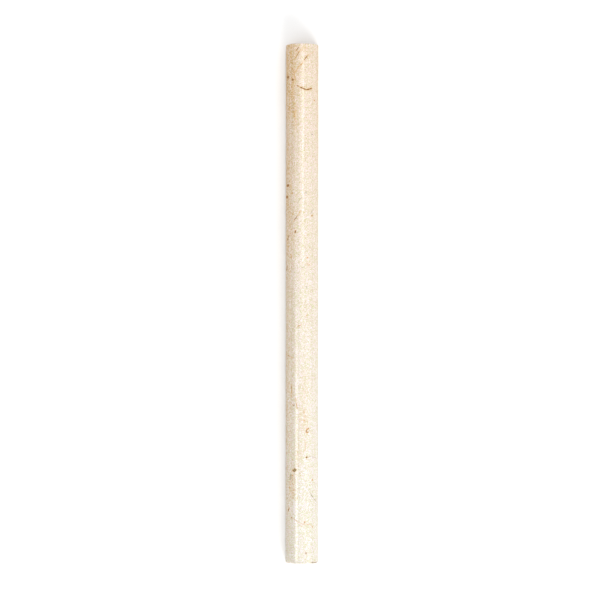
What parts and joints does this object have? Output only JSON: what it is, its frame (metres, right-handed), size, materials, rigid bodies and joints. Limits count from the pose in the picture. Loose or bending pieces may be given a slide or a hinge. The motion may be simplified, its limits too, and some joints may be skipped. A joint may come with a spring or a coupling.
{
  "type": "pencil liner",
  "caption": "Polished cream marble trim bar with a flat sawn back, straight sides, a half-round crown and sawn ends, crossed by fine rusty and grey mineral seams.",
  "frame": {"origin": "centre of the flat back face", "axes": "+Y along the bar towards its head end, +X across its width, +Z from the back out through the top of the crown"},
  "size_m": [0.019, 0.3048, 0.0159],
  "materials": {
    "marble": "polished",
    "rust_seam": "satin",
    "grey_seam": "satin",
    "pit_resin": "rough",
    "rust_speck": "satin"
  },
  "bodies": {
    "root": {"stone_bar": "marble", "crescent_seam": "rust_seam", "head_diagonal_seam": "rust_seam", "head_short_seam": "rust_seam", "head_corner_seam": "rust_seam", "head_hairline": "grey_seam", "upper_grey_seam": "grey_seam", "upper_diagonal_seam": "rust_seam", "upper_hairline": "grey_seam", "left_flank_seams": "rust_seam", "middle_seam": "rust_seam", "middle_dashes": "grey_seam", "left_rusty_wisps": "rust_seam", "lower_rusty_wisps": "rust_seam", "fossil_curl": "rust_seam", "foot_hairline": "grey_seam", "foot_slant_seam": "grey_seam", "foot_cross_seam": "rust_seam", "foot_grey_seam": "grey_seam", "large_pit_fill": "pit_resin", "small_pit_fills": "pit_resin", "rust_specks": "rust_speck"}
  },
  "joints": []
}
